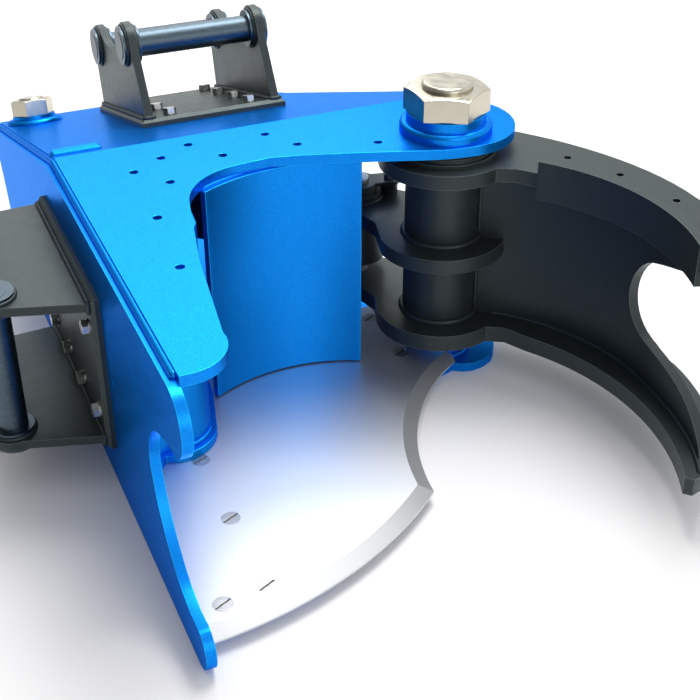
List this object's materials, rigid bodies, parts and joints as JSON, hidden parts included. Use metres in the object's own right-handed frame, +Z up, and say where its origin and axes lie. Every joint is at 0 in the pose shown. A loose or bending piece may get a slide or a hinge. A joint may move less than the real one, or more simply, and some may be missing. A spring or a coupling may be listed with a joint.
{
  "type": "excavator tree shear",
  "caption": "Blue welded frame with a fixed curved blade and a pivoting black arm closed by a hydraulic cylinder, with hitch brackets on its top and side.",
  "frame": {"origin": "on the pivot's axis at the underside of the bottom plate", "axes": "+Z up, +Y towards the closed rear of the frame along the side plate, +X from the side plate to the arm"},
  "size_m": [1.019, 1.252, 0.502],
  "materials": {
    "frame_paint": "satin metallic blue paint",
    "black_paint": "satin charcoal paint",
    "blade_steel": "finely ground, bright",
    "machined_steel": "machined",
    "dark_steel": "dark blued",
    "zinc_steel": "zinc plated",
    "nickel": "bright nickel",
    "rod_chrome": "polished chrome",
    "bronze": "machined bronze",
    "seal_rubber": "matt"
  },
  "bodies": {
    "frame": {"top_plate": "frame_paint", "bottom_plate": "frame_paint", "side_plate": "frame_paint", "deflector": "frame_paint", "guide_wall": "frame_paint", "corner_foot": "frame_paint", "cross_rib": "frame_paint", "deflector_rib": "frame_paint", "pivot_boss": "frame_paint", "pivot_collar": "frame_paint", "cylinder_shelf": "frame_paint", "base_pin_collar": "frame_paint", "pivot_pin": "machined_steel", "base_pin": "machined_steel", "base_spacers": "machined_steel", "base_ball": "machined_steel", "pivot_nut": "nickel", "lower_thrust_washer": "machined_steel", "upper_thrust_washer": "black_paint", "blade": "blade_steel", "blade_screws": "zinc_steel", "blade_nuts": "zinc_steel", "top_hitch_base": "black_paint", "top_hitch_ears": "black_paint", "side_hitch_base": "black_paint", "side_hitch_ears": "black_paint", "top_hitch_pins": "dark_steel", "side_hitch_pins": "dark_steel", "top_hitch_bolts": "zinc_steel", "side_hitch_bolts": "zinc_steel"},
    "arm": {"arm_top_plate": "black_paint", "arm_middle_leaf": "black_paint", "arm_lower_plate": "black_paint", "arm_web": "black_paint", "arm_grip_strip": "black_paint", "arm_hub_tube": "black_paint", "arm_thrust_ring": "black_paint", "rod_pin_boss": "black_paint", "rod_pin_keeper": "black_paint", "upper_bush": "bronze", "lower_bush": "bronze", "rod_pin": "machined_steel", "keeper_bolts": "zinc_steel"},
    "barrel": {"cylinder_barrel": "black_paint", "cylinder_base": "black_paint", "cylinder_gland": "black_paint", "cylinder_ports": "machined_steel"},
    "rod": {"piston_rod": "rod_chrome", "piston": "machined_steel", "piston_seal": "seal_rubber", "rod_eye": "black_paint"}
  },
  "joints": [
    {"name": "arm_swing", "type": "hinge", "parent": "frame", "child": "arm", "pos_m": [0, 0, 0.2], "axis": [0, 0, -1], "range_deg": [0, 50]},
    {"name": "cylinder_swing", "type": "hinge", "parent": "frame", "child": "barrel", "pos_m": [-0.526, 0.58108, 0.14725], "axis": [0, 0, 1], "range_deg": [0, 7.82]},
    {"name": "rod_slide", "type": "slide", "parent": "barrel", "child": "rod", "axis": [0.7544, -0.6564, 0], "range_m": [0, 0.128]}
  ],
  "couplings": [
    {"joint": "cylinder_swing", "follows": "arm_swing", "ratio": 0.15623},
    {"joint": "rod_slide", "follows": "arm_swing", "m_per_rad": 0.14648}
  ]
}
